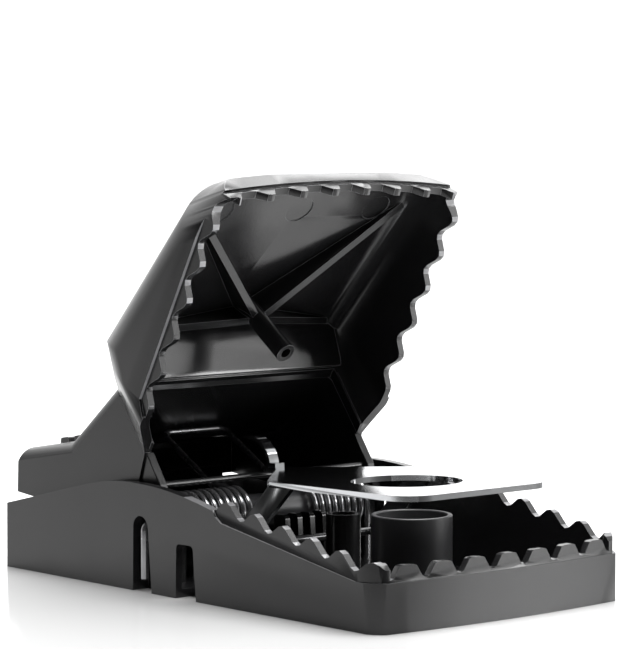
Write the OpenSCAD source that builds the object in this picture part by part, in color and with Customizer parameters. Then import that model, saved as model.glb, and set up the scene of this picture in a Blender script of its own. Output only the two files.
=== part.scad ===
// Snap mouse trap: a moulded tray with a toothed rim, a toothed upper jaw with a setting lever,
// a double torsion spring on a wire axle, a pressed steel trigger plate and a lift-out bait cup.
// The mouth faces -Y, +Z is up, and the origin lies under the middle of the tray.
// Rest is the set trap: the jaw stands open. The jaw outline is drawn as it lies when shut.

/* [Tray] */
// Length of the tray from the hinge to its front
front_len = 58.4; // [53:0.1:64]
// Length of the tray from the hinge to its rear end
rear_len = 38.6; // [35:0.1:42]
// Width of the tray at its rim
tray_w = 54; // [52:0.5:60]
// Thickness of the moulded walls
wall = 1.7; // [1.4:0.1:2]
// Thickness of the tray floor
floor_t = 1.4; // [1:0.1:2]
// Radius of the front corners, seen from above
corner_r = 6.3; // [5:0.1:8]
// Radius of the rear corners, seen from above
rear_corner_r = 2.5; // [2:0.1:4]
// How far the middle of the front wall stands out past its ends
front_bow = 1; // [0.6:0.1:1.6]
// Lean of the side walls towards the bottom, in degrees
draft = 1.6; // [0.5:0.1:2.5]
// Height of the tooth roots on the front wall
rim_front_z = 8.1; // [7:0.1:9]
// Rise of the toothed rim towards the rear, in degrees
rim_slope = 10; // [8:0.25:11]
// Radius of the rim's hump in front of its top
hump_front_r = 85; // [70:1:110]
// Radius of the rim's hump behind its top
hump_rear_r = 50; // [42:1:60]
// Distance of the hump's top behind the hinge
hump_offset = 2.5; // [1.5:0.1:3.5]
// Fall of the rim towards the rear end, in degrees
rear_fall = 13; // [11:0.25:15]

/* [Teeth] */
// Length of one tooth and its gap along the rim
tooth_pitch = 6.7; // [5.5:0.1:8]
// Height of a tooth
tooth_h = 2.1; // [1.6:0.1:2.4]
// Distance of the rearmost tooth root in front of the hinge
tooth_start = 18.3; // [17:0.1:20]
// Width of the corner tooth at each end of the front wall
corner_tooth_w = 3.45; // [3:0.05:4]
// How far the toothed band is set in from the wall's face
band_inset = 0.5; // [0.3:0.05:0.7]
// Height of the tray's toothed band below its side tooth roots
tray_band = 1.5; // [1:0.1:2]
// Height of the jaw's toothed band above its tooth roots
jaw_band = 0.3; // [0.2:0.1:1]
// Gap between the two rims when the jaw is shut
rim_gap = 0.4; // [0.3:0.05:0.6]

/* [Side slots] */
// Height of the hinge slot's round top
hinge_slot_z = 12.45; // [12.2:0.05:12.8]
// Width of the hinge slot at its round top
hinge_slot_w = 3.9; // [3.4:0.1:4.4]
// Width of the front slot at its top
front_slot_w = 4.2; // [3.6:0.1:5]
// Height of the front slot
front_slot_h = 8.9; // [8:0.1:9.4]
// How much wider both slots are at the bottom
slot_flare = 1.1; // [0.6:0.1:1.4]

/* [Hinge] */
// Height of the hinge axle
hinge_z = 11.05; // [10.6:0.05:11.3]
// Diameter of the hinge axle wire
axle_d = 1.3; // [1.1:0.1:1.6]
// Radial play of a part that turns on an axle
axle_play = 0.05; // [0.03:0.01:0.1]
// Height of the foot of the axle's bent legs
axle_leg_z = 2.1; // [1.8:0.1:3]
// Angle that the jaw opens through, in degrees
open_angle = 70.7; // [66:0.1:73]
// Radius of the round end of a hinge cheek
cheek_r = 3.4; // [3:0.1:3.8]
// Thickness of a hinge cheek
cheek_t = 1.4; // [1.1:0.1:1.6]
// Gap between a hinge cheek and the jaw arm beside it
cheek_gap = 0.5; // [0.3:0.1:0.8]
// Distance of the axle's bent legs inside the tray's side faces
leg_inset = 0.45; // [0.4:0.05:0.8]

/* [Upper jaw] */
// Distance of the roof's ridge behind the tray's front, jaw shut
ridge_from_front = 34.7; // [33.5:0.1:36]
// Height of the roof's ridge above the hinge, jaw shut
ridge_z = 22.2; // [21:0.1:23]
// Fall of the roof from the ridge to the front, in degrees
roof_slope = 24; // [23:0.25:25.5]
// Thickness of the jaw's roof
roof_t = 1.3; // [1.1:0.1:1.6]
// Length of the roof's rear facet
facet_len = 8.3; // [7:0.1:9]
// Distance of the foot of the jaw's rear edge in front of the hinge, jaw shut
heel_front = 9.8; // [9.4:0.1:10.4]
// Height of the foot of the jaw's rear edge above the hinge, jaw shut
heel_up = 6.2; // [5.9:0.1:6.6]
// Thickness of the rear facet
facet_t = 2.8; // [2:0.1:3.2]
// Fall of the rear facet, in degrees
facet_slope = 38; // [32:1:42]
// Length over which the jaw's sides draw in to the lever at its rear edge
jog_len = 5.1; // [4:0.1:6]
// How far the jaw's front stands out past the tray's, jaw shut
jaw_overhang = 0.7; // [0.2:0.1:0.9]
// Radius of the roof's front edge
roof_front_r = 7; // [5:0.1:8]
// Radius of the crown across the jaw's front edge
crown_r = 300; // [200:10:500]
// Radius of the roof's ridge
ridge_r = 3.5; // [2.5:0.1:5]
// Radius of the corners between the roof's front edge and its sides
brow_r = 10; // [7:0.5:13]
// Radius of the roof's side edges
roof_side_r = 6.5; // [5:0.1:7]
// Thickness of the stiffening webs under the roof
web_t = 1.2; // [1:0.1:1.6]
// Depth of the webs below the roof beside the hollow post
web_depth = 5.3; // [4:0.1:6]
// Distance of the front webs' ends behind the jaw's front
web_front = 6.7; // [6:0.1:8]
// Distance of the webs' ends inside the jaw's side faces
web_side = 3.7; // [3:0.1:4.5]
// Outer diameter of the hollow post under the roof
post_d = 3.4; // [3:0.1:3.7]
// Depth of the hollow post's bore
post_bore_h = 7; // [5:0.5:9]
// Bore of the hollow post
post_bore = 1.9; // [1.4:0.1:2.2]
// Distance of the hollow post's foot behind the middle of the bait cup
post_back = 8.9; // [8.4:0.1:9.2]
// Height of the hollow post's foot above the bait cup's rim, jaw shut
post_gap = 1.2; // [0.9:0.1:2]
// Lean of the hollow post, in degrees
post_lean = 16.5; // [12:0.5:18]
// Diameter of the round ejector marks under the roof
mark_d = 5.3; // [4:0.1:6]
// Distance of the ejector marks behind the jaw's front
mark_front = 8; // [6.5:0.1:9]
// Depth of the ejector marks
mark_depth = 0.15; // [0.1:0.05:0.3]
// Distance between the ejector marks
mark_pitch = 17; // [15:0.5:18]

/* [Setting lever] */
// Gap between the lever and the tray's side walls
lever_play = 1.4; // [1.1:0.1:1.8]
// Thickness of the lever's walls
lever_t = 1.3; // [1:0.1:1.6]
// Distance of the lever's knee behind the hinge
knee_y = 23.3; // [22:0.1:25]
// Height of the lever's knee above the hinge
knee_z = 11.45; // [10.5:0.05:12.5]
// Fall of the thumb pad towards its end, in degrees
pad_fall = 9.5; // [7:0.5:12]
// Distance of the lever's end inside the tray's rear end
lever_end_gap = 0.5; // [0.2:0.1:1.5]
// Height of the lower edge of the lever's end above the hinge
lever_end_foot = 1.6; // [1.3:0.1:2.1]
// Depth of the lip under the lever's end, which reaches down inside the tray
lip_drop = 3; // [2.4:0.1:4]
// Thickness of the lip under the lever's end
lip_t = 0.65; // [0.5:0.05:0.8]
// Gap between the lip and the tray's rear wall
lip_gap = 0.35; // [0.3:0.05:0.5]
// Distance of the lip's ends from the lever's sides
lip_inset = 4; // [3:0.5:8]
// Distance of the lever's front corner behind the hinge
lever_front = 6.6; // [6:0.1:7.2]
// Height of the lever's front corner above the hinge
lever_foot = -1.3; // [-1.5:0.1:-0.5]
// Radius of the lever's upper side edges
lever_edge_r = 2; // [1.5:0.1:3]
// Width of one grip ridge on the thumb pad
grip_w = 2.8; // [2:0.1:3]
// Height of a grip ridge
grip_h = 1; // [0.6:0.1:1.4]
// Distance from one grip ridge to the next
grip_pitch = 3.9; // [3.6:0.1:4.4]
// Number of grip ridges
grip_count = 2; // [1:1:3]
// Thickness of a jaw arm
arm_t = 1.6; // [1.4:0.1:1.8]
// Distance of an arm inside the lever's side face
arm_inset = 0.4; // [0.3:0.1:0.6]
// Radius of an arm's round hinge end
arm_boss_r = 3.6; // [3:0.1:3.9]
// Height of the bend in an arm's front edge above the hinge
arm_front_h = 6.3; // [5.8:0.1:6.8]
// Diameter of the latch bar between the arms
latch_d = 1.2; // [1:0.1:1.4]
// Distance of the latch bar from the hinge axis
latch_reach = 6; // [5.7:0.1:6.3]

/* [Spring] */
// Diameter of the spring wire
wire_d = 1; // [0.9:0.02:1.02]
// Mean radius of the spring's curls
coil_r = 4.3; // [4.1:0.1:4.5]
// Distance from one curl to the next
coil_pitch = 1.45; // [1.43:0.01:1.5]
// Least distance of a coil's inner end from the middle
coil_inner_min = 6.5; // [5.5:0.1:7]
// Gap between a coil and the cheek beside it
coil_side_gap = 0.73; // [0.5:0.01:1]
// Diameter of the sleeve inside the coils
sleeve_d = 6; // [5:0.1:6.2]
// Distance of the bail's cross wire in front of the lever's knee
bail_front = 3.7; // [3:0.1:5]
// Length of the coil's straight inner end
coil_tail = 5.5; // [5:0.1:6]

/* [Trigger] */
// Thickness of the trigger plate
plate_t = 0.9; // [0.7:0.1:1]
// Width of the trigger plate
plate_w = 31.8; // [30.6:0.2:32]
// Distance of the plate's front edge inside the tray's front
plate_front = 6; // [5.5:0.1:8]
// Height of the plate's upper face over the bait cup
plate_z = 19.2; // [19:0.1:19.6]
// Rise of the plate towards the front, in degrees
plate_tilt = 1; // [0.4:0.1:1.4]
// Diameter of the hole over the bait cup
hole_d = 17.9; // [17:0.1:18.6]
// Distance of the hole's middle behind the bait cup's middle
hole_back = 1.2; // [0.6:0.1:1.4]
// Radius of the plate's front corners
plate_corner_r = 5; // [3:0.1:7]
// Distance from the hole's middle to where the plate starts to narrow
taper_from = 15.8; // [15:0.1:16.4]
// Half of the width of the plate's tail
tail_half_w = 1.7; // [1.5:0.1:2.2]
// Distance of the trigger axle in front of the hinge
pivot_front = 11.3; // [11:0.1:12]
// Height of the trigger axle
pivot_z = 7.6; // [7.2:0.1:8]
// Radius of the round end of a trigger ear
ear_r = 2.2; // [1.9:0.1:2.4]
// Gap between a trigger ear and the stand beside it
stand_gap = 0.4; // [0.3:0.1:0.6]
// Thickness of a stand that carries the trigger axle
stand_t = 1.4; // [1.1:0.1:1.6]
// How far the trigger axle stands out past its stands
axle_end = 0.5; // [0.3:0.1:1]
// Distance of the tail's end in front of the hinge
tail_gap = 1.4; // [1.2:0.1:2]
// Mean radius of the curved catch
catch_r = 4.9; // [4.6:0.1:5.4]
// Depth of the middle of the catch's curve below the plate's upper face
catch_drop = 0.3; // [0.2:0.1:0.8]
// Thickness of the catch strip
catch_t = 0.7; // [0.5:0.1:0.9]
// Width of the catch strip
catch_w = 2; // [1.6:0.1:2.4]
// Angle that the catch curls through, in degrees
catch_sweep = 94; // [80:1:98]

/* [Bait cup] */
// Distance of the cup's middle from the tray's front
cup_front = 22.6; // [22:0.1:23.4]
// Outer diameter of the cup
cup_d = 13; // [12.4:0.1:13.2]
// Thickness of the cup's wall
cup_t = 0.8; // [0.6:0.1:1.2]
// Height of the cup's rim
cup_z = 14; // [13:0.1:14.4]
// Thickness of the cup's base flange
flange_t = 1; // [0.8:0.1:1.2]
// How far the base flange stands out past the cup
flange_w = 2; // [1.5:0.1:2.4]
// Height of the cup's underside above the ground
cup_lift = 0.2; // [0.1:0.05:0.3]
// Play between the cup and the tray
cup_play = 0.3; // [0.25:0.05:0.4]
// Thickness of the cup's seat in the tray
seat_t = 1.4; // [1.1:0.1:1.8]

/* [Tray inside] */
// Outer diameter of the stop post behind the cup
stop_d = 5.7; // [5:0.1:6.2]
// Thickness of the stop post's wall
stop_t = 0.9; // [0.7:0.1:1.2]
// Height of the stop post
stop_z = 12.5; // [11:0.1:13]
// Distance of the stop post in front of the trigger axle
stop_front = 8.1; // [7.6:0.1:8.6]
// Height of the floor ribs under the plate's tail
floor_rib_z = 11.6; // [9:0.1:11.8]
// Distance between floor ribs
floor_rib_pitch = 2.7; // [2.4:0.1:3.2]
// Number of floor ribs
floor_rib_count = 4; // [2:1:5]

/* [Hidden] */

black_plastic = [0.06, 0.06, 0.065];
soft_black = [0.09, 0.09, 0.095];
bright_steel = [0.8, 0.81, 0.83];
wire_steel = [0.62, 0.63, 0.65];

round_fn = 64;
arc_steps = 6;
side_steps = 8;
over = 1;
far = 80;
seat_gap = 0.1;

half_w = tray_w / 2;
tray_len = front_len + rear_len;
front_y = -tray_len / 2;
rear_y = tray_len / 2;
hinge_y = rear_y - rear_len;
hinge = [hinge_y, hinge_z];
bow_r = (pow(half_w - corner_r, 2) + pow(front_bow, 2)) / (2 * front_bow);

// Rims: the roots of the side teeth lie on one sloping line, and the hump is tangent to it.
tooth_y0 = hinge_y - tooth_start;
side_teeth = round((tooth_y0 - front_y) / tooth_pitch);
side_pitch = (tooth_y0 - front_y) / side_teeth;
front_span = tray_w - 2 * corner_tooth_w;
front_teeth = round(front_span / tooth_pitch);
front_pitch = front_span / front_teeth;
function rim_z(y) = rim_front_z + (y - front_y) * tan(rim_slope);
hump_y = hinge_y + hump_offset;
hump_run = hump_y - tooth_y0;
hump_z = rim_z(tooth_y0) + hump_front_r - sqrt(pow(hump_front_r, 2) - pow(hump_run, 2));
fall_y = hump_y + hump_rear_r * sin(rear_fall);
fall_z = hump_z - hump_rear_r * (1 - cos(rear_fall));
rear_z = fall_z - (rear_y - fall_y) * tan(rear_fall);

// Jaw, shut: ridge, end of the rear facet and the rear corner of its side walls.
ridge = [front_y + ridge_from_front, hinge_z + ridge_z];
facet_end = ridge + facet_len * [cos(facet_slope), -sin(facet_slope)];
jaw_heel = hinge + [-heel_front, heel_up];
function roof_z(y) = ridge.y - (ridge.x - y) * tan(roof_slope);

// Widths across the hinge, from the middle outwards.
inner_half_w = half_w - wall;
lever_half_w = inner_half_w - lever_play;
arm_x1 = lever_half_w - arm_inset;
arm_x0 = arm_x1 - arm_t;
cheek_x1 = arm_x0 - cheek_gap;
cheek_x0 = cheek_x1 - cheek_t;
axle_leg_x = half_w - leg_inset - axle_d / 2;
coil_outer_x = cheek_x0 - coil_side_gap - wire_d / 2;
coil_turns = floor((coil_outer_x - coil_inner_min) / coil_pitch - 0.25);
coil_inner_x = coil_outer_x - (coil_turns + 0.25) * coil_pitch;

// Trigger, and what lies around the bait cup.
cup_y = front_y + cup_front;
hole_y = cup_y + hole_back;
pivot = [hinge_y - pivot_front, pivot_z];
plate_half_w = plate_w / 2;
taper_len = plate_half_w - tail_half_w;
tail_end = hinge_y - tail_gap - hole_y;
flange_r = cup_d / 2 + flange_w;
seat_z = cup_lift + flange_t + cup_play;

// ---------- outlines ----------

function unit(v) = v / norm(v);

// Arc of radius r that rounds the corner b between a and c.
function corner(a, b, c, r) =
    let (u = unit(a - b), v = unit(c - b), half = acos(u * v) / 2,
        centre = b + unit(u + v) * r / sin(half),
        p = b + u * r / tan(half) - centre, q = b + v * r / tan(half) - centre,
        start = atan2(p.y, p.x), turn = (atan2(q.y, q.x) - start + 540) % 360 - 180)
    [for (i = [0:arc_steps]) centre + r * [cos(start + turn * i / arc_steps),
        sin(start + turn * i / arc_steps)]];

// Outline with each corner rounded by its own radius, or left sharp by 0.
function rounded(pts, radii) =
    let (n = len(pts))
    [for (i = [0:n - 1]) each radii[i] <= 0 ? [pts[i]]
        : corner(pts[(i + n - 1) % n], pts[i], pts[(i + 1) % n], radii[i])];

// Counter-clockwise outline with every edge moved inwards by w.
function inset(pts, w) =
    let (n = len(pts))
    [for (i = [0:n - 1])
        let (u = unit(pts[i] - pts[(i + n - 1) % n]), v = unit(pts[(i + 1) % n] - pts[i]),
            m = [-u.y, u.x], k = [-v.y, v.x])
        pts[i] + w * (m + k) / (1 + m * k)];

// Outline drawn in (y, z), extruded from x0 to x1.
module along_x(x0, x1) {
    translate([x0, 0, 0]) rotate([90, 0, 90]) linear_extrude(x1 - x0) children();
}

// Outline drawn in (x, z), extruded from y0 to y1.
module along_y(y0, y1) {
    translate([0, y1, 0]) rotate([90, 0, 0]) linear_extrude(y1 - y0) children();
}

// Cylinder along X about the point p, which is given as (y, z).
module rod_x(p, r, x0, x1) {
    translate([x0, p.x, p.y]) rotate([0, 90, 0]) cylinder(h = x1 - x0, r = r, $fn = round_fn);
}

module mirrored() {
    children();
    mirror([1, 0, 0]) children();
}

// Turns a shape drawn with the jaw shut to where it stands in the set trap.
module opened() {
    translate([0, hinge.x, hinge.y]) rotate([-open_angle, 0, 0]) translate([0, -hinge.x, -hinge.y])
        children();
}

// The same turn for a point (y, z).
function opened_point(p) =
    let (d = p - hinge)
    hinge + [d.x * cos(open_angle) + d.y * sin(open_angle),
        d.y * cos(open_angle) - d.x * sin(open_angle)];

// Outline of the tray and the jaw seen from above, set in by w.
module plan(w) {
    hw = half_w - w;
    front_r = corner_r - w;
    rear_r = max(rear_corner_r - w, 0.5);
    intersection() {
        union() {
            translate([-hw, front_y + corner_r]) square([2 * hw, tray_len - corner_r - rear_corner_r]);
            translate([-hw + front_r, front_y + w]) square([2 * (hw - front_r), tray_len / 2]);
            translate([-hw + rear_r, 0]) square([2 * (hw - rear_r), rear_y - w]);
            for (side = [-1, 1]) {
                translate([side * (hw - front_r), front_y + corner_r]) circle(r = front_r, $fn = round_fn);
                translate([side * (hw - rear_r), rear_y - w - rear_r]) circle(r = rear_r, $fn = round_fn);
            }
        }
        translate([0, front_y + bow_r]) circle(r = bow_r - w, $fn = 8 * round_fn);
    }
}

module plan_prism(w, z0, z1) {
    translate([0, 0, z0]) linear_extrude(z1 - z0) plan(w);
}

// ---------- rims ----------

side_tooth_line = [for (i = [0:side_teeth * side_steps])
    let (y = tooth_y0 - i * side_pitch / side_steps)
    [y, rim_z(y) + tooth_h * (1 - cos(360 * i / side_steps)) / 2]];

hump_line = concat(
    [[rear_y + over, rear_z - over * tan(rear_fall)]],
    [for (i = [0:arc_steps]) let (a = rear_fall * (1 - i / arc_steps))
        [hump_y + hump_rear_r * sin(a), hump_z - hump_rear_r * (1 - cos(a))]],
    [for (i = [1:arc_steps - 1]) let (y = hump_y - hump_run * i / arc_steps)
        [y, hump_z - hump_front_r + sqrt(pow(hump_front_r, 2) - pow(y - hump_y, 2))]]);

// Front teeth are flat on top and narrow at the root.
front_tooth_line = [for (i = [0:front_teeth - 1]) for (p = [[0, 0], [0.1, 0.08], [0.27, 0.92], [0.36, 1],
    [0.64, 1], [0.73, 0.92], [0.9, 0.08]])
    [-front_span / 2 + (i + p.x) * front_pitch, rim_front_z + tooth_h * p.y]];

// Everything below the side rims, out past the walls by reach and in over the front rim by lap.
module rim_sides(reach, lap) {
    mirrored() along_x(front_span / 2 - lap, half_w + reach)
        polygon(concat(hump_line, side_tooth_line,
            [[front_y - reach, rim_z(front_y)], [front_y - reach, -over], [rear_y + over, -over]]));
}

// Everything below the front rim; its ends lie low, inside the sides.
module rim_front(reach) {
    end_x = front_span / 2 + 1;
    along_y(front_y - reach, front_y + corner_r + wall)
        polygon(concat([[-end_x, -over], [-end_x, rim_front_z - 1]], front_tooth_line,
            [[front_span / 2, rim_front_z], [end_x, rim_front_z - 1], [end_x, -over]]));
}

// Ring just outside the toothed bands, which is cut away to set them in.
module band_ring() {
    difference() {
        plan_prism(-over, 0, far / 2);
        plan_prism(band_inset, -over, far / 2 + over);
    }
}

// ---------- base tray ----------

module tray_band_cut() {
    ledge_y = tooth_y0 - 2.2;
    intersection() {
        band_ring();
        along_x(-far, far) polygon([[tooth_y0 - 0.2, far / 2], [tooth_y0 - 0.2, rim_z(tooth_y0) + 0.1],
            [tooth_y0 - 0.9, rim_z(tooth_y0) - 1], [ledge_y, rim_z(ledge_y) - tray_band],
            [front_y + corner_r, rim_z(front_y + corner_r) - tray_band],
            [front_y - 2 * over, rim_z(front_y + corner_r) - tray_band],
            [front_y - 2 * over, far / 2]]);
    }
}

module slots() {
    round_z = hinge_slot_z - hinge_slot_w / 2;
    mirrored() {
        along_x(inner_half_w - 2, half_w + over) {
            translate([hinge_y, round_z]) circle(d = hinge_slot_w, $fn = round_fn);
            polygon([[hinge_y - hinge_slot_w / 2, round_z], [hinge_y - (hinge_slot_w + slot_flare) / 2, -over],
                [hinge_y + (hinge_slot_w + slot_flare) / 2, -over], [hinge_y + hinge_slot_w / 2, round_z]]);
        }
        along_x(inner_half_w - 2, half_w + over)
            polygon(rounded([[pivot.x - (front_slot_w + slot_flare) / 2, -over],
                [pivot.x + (front_slot_w + slot_flare) / 2, -over],
                [pivot.x + front_slot_w / 2, front_slot_h], [pivot.x - front_slot_w / 2, front_slot_h]],
                [0, 0, 0.8, 0.8]));
    }
}

// Upright plate with a round top about p, standing on the floor.
module standing_ear(p, r, x0, x1) {
    rod_x(p, r, x0, x1);
    translate([x0, p.x - r, floor_t / 2]) cube([x1 - x0, 2 * r, p.y - floor_t / 2]);
}

module trigger_stand() {
    x0 = plate_half_w + stand_gap;
    difference() {
        standing_ear(pivot, ear_r + 0.6, x0, x0 + stand_t);
        rod_x(pivot, axle_d / 2 + axle_play / 2, x0 - over, x0 + stand_t + over);
    }
}

module hinge_cheek() {
    difference() {
        standing_ear(hinge, cheek_r, cheek_x0, cheek_x1);
        rod_x(hinge, axle_d / 2 + axle_play / 2, cheek_x0 - over, cheek_x1 + over);
    }
}

module stop_post() {
    translate([0, pivot.x - stop_front, floor_t / 2]) difference() {
        cylinder(h = stop_z - floor_t / 2, d = stop_d, $fn = round_fn);
        translate([0, 0, floor_t / 2 + 1]) cylinder(h = stop_z, d = stop_d - 2 * stop_t, $fn = round_fn);
    }
}

module floor_ribs() {
    for (i = [0:floor_rib_count - 1])
        translate([(i - (floor_rib_count - 1) / 2) * floor_rib_pitch - 0.5, 0, 0]) along_x(0, 1)
            polygon(rounded([[pivot.x + 0.4, floor_t / 2], [pivot.x + 4, floor_t / 2],
                [pivot.x + 4, floor_rib_z], [pivot.x + 1.2, floor_rib_z]], [0, 0, 0.8, 0.8]));
}

module base_tray() {
    cup_hole_r = cup_d / 2 + cup_play;
    color(black_plastic) difference() {
        union() {
            difference() {
                intersection() {
                    plan_prism(0, 0, far / 2);
                    union() {
                        rim_sides(over, 0);
                        rim_front(over);
                        translate([-front_span / 2 - over, front_y + corner_r, -over])
                            cube([front_span + 2 * over, tray_len, rear_z + over]);
                    }
                    along_y(front_y - over, rear_y + over) polygon([[-half_w + hump_z * tan(draft), 0],
                        [half_w - hump_z * tan(draft), 0], [half_w, hump_z], [half_w, far],
                        [-half_w, far], [-half_w, hump_z]]);
                }
                plan_prism(wall, floor_t, far);
                tray_band_cut();
            }
            mirrored() {
                hinge_cheek();
                trigger_stand();
            }
            stop_post();
            floor_ribs();
            translate([0, cup_y, 0]) cylinder(h = seat_z + seat_t, r = flange_r + cup_play + 1.2, $fn = round_fn);
        }
        slots();
        translate([0, cup_y, -over]) cylinder(h = seat_z + over, r = flange_r + cup_play, $fn = round_fn);
        translate([0, cup_y, 0]) cylinder(h = far / 4, r = cup_hole_r, $fn = round_fn);
    }
}

// ---------- bait cup ----------

module bait_cup() {
    color(soft_black) translate([0, cup_y, cup_lift]) rotate_extrude($fn = round_fn)
        polygon([[0, 0], [flange_r, 0], [flange_r, flange_t], [cup_d / 2, flange_t],
            [cup_d / 2, cup_z - cup_lift], [cup_d / 2 - cup_t, cup_z - cup_lift],
            [cup_d / 2 - cup_t, flange_t + 1], [cup_d / 2 - cup_t - 1, flange_t], [0, flange_t]]);
}

// ---------- upper jaw ----------

// Side outline of the shut jaw, counter-clockwise from the front foot.
jaw_front_y = front_y - jaw_overhang;
jaw_pts = [[jaw_front_y, 0], [jaw_heel.x, 0], jaw_heel, facet_end, ridge, [jaw_front_y, roof_z(jaw_front_y)]];

// Outline in (x, z) drawn out along a line through p that falls by slope towards -Y.
module prism_along_slope(p, slope) {
    translate([0, p.x, p.y]) rotate([slope, 0, 0]) along_y(-far, far) children();
}

// Prism with round upper edges whose flat top runs through p.
module roof_prism(p, slope, hw, r) {
    prism_along_slope(p, slope) {
        translate([-hw, -far]) square([2 * hw, far - r]);
        translate([-hw + r, -far]) square([2 * (hw - r), far]);
        for (side = [-1, 1]) translate([side * (hw - r), -r]) circle(r = r, $fn = round_fn);
    }
}

// Prism with a crowned top that cuts the corners off the roof's round front edge.
module front_prism(corner, w, roof) {
    slope = (90 + roof_slope) / 2;
    p = corner + (roof_front_r - roof) * (1 / sin(slope) - 1) * [sin(slope), -cos(slope)];
    intersection() {
        roof_prism(p, slope, half_w - w, brow_r - roof);
        prism_along_slope(p, slope) translate([0, -crown_r]) circle(r = crown_r, $fn = 8 * round_fn);
    }
}

module jaw_solid(w, roof) {
    facet_fall = unit(facet_end - ridge);
    side = inset(jaw_pts, roof);
    intersection() {
        along_x(-half_w, half_w) polygon(rounded([[side[0].x, -roof], [side[1].x, -roof], side[2],
            side[3], side[4], side[5]], [0, 0, 0, 0, ridge_r - roof, roof_front_r - roof]));
        roof_prism(ridge - roof * [-sin(roof_slope), cos(roof_slope)], roof_slope, half_w - w,
            roof_side_r - roof);
        roof_prism(ridge - roof * [-facet_fall.y, facet_fall.x], -facet_slope, half_w - w,
            roof_side_r - roof);
        front_prism(side[5], w, roof);
        translate([0, -jaw_overhang, 0]) plan_prism(w, -over - roof, far);
        prism_along_slope(jaw_heel, atan2(jaw_heel.y - facet_end.y, jaw_heel.x - facet_end.x))
            polygon(rounded(inset([[-half_w, -far], [half_w, -far], [half_w, -jog_len], [lever_half_w, 0],
                [-lever_half_w, 0], [-half_w, -jog_len]], w), [0, 0, 2, 0, 0, 2]));
    }
}

// Thickens the rear facet from the inside.
module facet_pad() {
    fall = unit(facet_end - ridge);
    inwards = [fall.y, -fall.x];
    along_x(-half_w, half_w) polygon([facet_end, facet_end + facet_t * inwards,
        ridge + facet_t * inwards - facet_t * fall, ridge - facet_t * fall]);
}

// Way from the hollow of the jaw into the hollow of the lever.
module jaw_passage() {
    fall = unit(facet_end - ridge);
    pad_end = facet_end + facet_t * [fall.y, -fall.x];
    half = lever_half_w - lever_t;
    along_x(-half, half) polygon([pad_end, [pad_end.x, -over], [jaw_heel.x + over, -over],
        [jaw_heel.x + over, facet_end.y - lever_t], [facet_end.x, facet_end.y - lever_t]]);
}

post_foot = [cup_y + post_back, cup_z + post_gap];
post_axis = [-sin(post_lean), cos(post_lean)];
post_top = post_foot + post_axis * (roof_z(post_foot.x) - post_foot.y) * cos(roof_slope)
    / cos(roof_slope - post_lean);

// Upright webs from the hollow post to the corners of the roof, deepest at the post.
module roof_webs() {
    hub = post_top - (roof_t + web_depth) * post_axis;
    for (side = [-1, 1]) for (end_y = [jaw_front_y + web_front, ridge.x - 1.5]) {
        tip = [side * (half_w - web_side), end_y];
        run = norm(tip - [0, hub.x]);
        translate([0, hub.x, 0]) rotate([0, 0, atan2(tip.y - hub.x, tip.x)]) translate([0, web_t / 2, 0])
            rotate([90, 0, 0]) linear_extrude(web_t)
                polygon([[0, hub.y], [run, roof_z(end_y) - roof_t - 0.4], [run, roof_z(end_y)],
                    [0, post_top.y]]);
    }
}

module roof_post() {
    translate([0, post_foot.x, post_foot.y]) rotate([post_lean, 0, 0]) difference() {
        cylinder(h = norm(post_top - post_foot), d = post_d, $fn = round_fn);
        translate([0, 0, -over]) cylinder(h = post_bore_h + over, d = post_bore, $fn = round_fn);
    }
}

module ejector_marks() {
    mark_y = jaw_front_y + mark_front;
    for (i = [-1:1]) translate([i * mark_pitch, mark_y, roof_z(mark_y)]) rotate([roof_slope, 0, 0])
        translate([0, 0, mark_depth - roof_t - over]) cylinder(h = over, d = mark_d, $fn = round_fn);
}

// Everything under the jaw's side walls behind their last tooth.
module heel_cut() {
    along_x(-far, far) polygon([[tooth_y0, -over], [tooth_y0, rim_z(tooth_y0) + rim_gap], jaw_heel,
        jaw_heel + [over, 0], [jaw_heel.x + over, -over]]);
}

module jaw_band_cut() {
    lift = tooth_h + rim_gap + jaw_band;
    intersection() {
        translate([0, -jaw_overhang, 0]) band_ring();
        along_x(-far, far) polygon([[tooth_y0 + 1.5, -over], [tooth_y0 + 1.5, rim_z(tooth_y0) + 1],
            [tooth_y0 - 1, rim_z(tooth_y0 - 1) + lift], [front_y - 2 * over, rim_front_z + lift],
            [front_y - 2 * over, -over]]);
    }
}

module upper_jaw() {
    color(black_plastic) opened() difference() {
        union() {
            difference() {
                jaw_solid(0, 0);
                jaw_solid(wall, roof_t);
            }
            intersection() {
                union() {
                    roof_webs();
                    roof_post();
                    facet_pad();
                }
                jaw_solid(wall / 2, roof_t / 2);
            }
        }
        jaw_passage();
        ejector_marks();
        heel_cut();
        translate([0, 0, rim_gap]) rim_sides(2 * over, rim_gap);
        translate([0, 0, rim_gap]) rim_front(2 * over);
        jaw_band_cut();
    }
}

// ---------- setting lever and arms ----------

knee = hinge + [knee_y, knee_z];
heel_open = opened_point(jaw_heel);
facet_open = opened_point(facet_end);
lever_end_y = rear_y - lever_end_gap;
pad_end = [lever_end_y - 1.8, knee.y - (lever_end_y - 1.8 - knee.x) * tan(pad_fall)];
slope_angle = atan2(facet_open.y - knee.y, knee.x - facet_open.x);

// Side outline of the lever from the foot of its front edge; its top stands clear of the roof.
end_foot = [lever_end_y, hinge_z + lever_end_foot];
end_top = [lever_end_y - 0.2, pad_end.y - 2.4];
end_over = pad_end + 3 * unit(pad_end - end_top);
joint_over = facet_open + 3 * unit(facet_open - heel_open);
front_foot = hinge + [lever_front, lever_foot];
lever_side = rounded([front_foot, end_foot, end_top, end_over, joint_over, heel_open], [1.5, 0, 0, 0, 0, 0]);

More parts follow.
